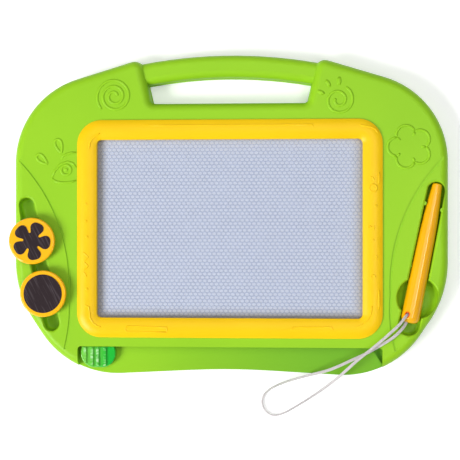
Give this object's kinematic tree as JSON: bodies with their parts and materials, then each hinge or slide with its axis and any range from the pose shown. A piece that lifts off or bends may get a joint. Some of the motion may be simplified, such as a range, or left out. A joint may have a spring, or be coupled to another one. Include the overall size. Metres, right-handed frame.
{
  "type": "magnetic drawing board",
  "caption": "Toy drawing board with a framed magnetic screen, a sliding eraser, a pen on a cord in its slot, shape stampers parked in a groove and a carrying handle.",
  "frame": {"origin": "middle of the flat back, on the face that the board rests on", "axes": "+X to the right across the width, +Y towards the handle, +Z out of the screen"},
  "size_m": [0.4135, 0.3454, 0.0366],
  "materials": {
    "case_green": "satin moulded plastic",
    "frame_yellow": "satin moulded plastic",
    "screen_film": "clear glossy film",
    "screen_cells": "white cells of a honeycomb under film",
    "screen_seal": "glued edge",
    "screen_backing": "plain film",
    "inner_plastic": "plain moulded",
    "screw_steel": "zinc plated",
    "magnet_dark": "bonded ferrite sheet",
    "knob_emerald": "translucent glossy",
    "pen_orange": "glossy",
    "cord_grey": "braided",
    "stamper_yellow": "glossy"
  },
  "bodies": {
    "board": {"front_shell": "case_green", "back_cover": "case_green", "screen_bezel": "frame_yellow", "screen_front_film": "screen_film", "screen_core": "screen_cells", "screen_edge_seal": "screen_seal", "screen_back_film": "screen_backing", "screen_rail_top": "inner_plastic", "screen_rail_bottom": "inner_plastic", "rail_screws": "screw_steel", "back_screws": "screw_steel"},
    "eraser": {"eraser_carriage": "inner_plastic", "eraser_magnet_strip": "magnet_dark", "eraser_knob": "knob_emerald"},
    "pen": {"pen_barrel": "pen_orange", "pen_tail_plug": "pen_orange", "pen_tip_magnet": "screw_steel", "pen_cord": "cord_grey", "pen_cord_knot": "cord_grey"},
    "flower_stamper": {"flower_stamper_body": "stamper_yellow", "flower_stamper_magnet": "magnet_dark"},
    "round_stamper": {"round_stamper_body": "stamper_yellow", "round_stamper_magnet": "magnet_dark"}
  },
  "joints": [
    {"name": "eraser_slide", "type": "slide", "parent": "board", "child": "eraser", "axis": [1, 0, 0], "range_m": [0, 0.2496]},
    {"name": "pen_lift", "type": "slide", "parent": "board", "child": "pen", "axis": [0, 0, 1], "range_m": [0, 0.06]},
    {"name": "flower_stamper_lift", "type": "slide", "parent": "board", "child": "flower_stamper", "axis": [0, 0, 1], "range_m": [0, 0.05]},
    {"name": "round_stamper_lift", "type": "slide", "parent": "board", "child": "round_stamper", "axis": [0, 0, 1], "range_m": [0, 0.05]}
  ]
}
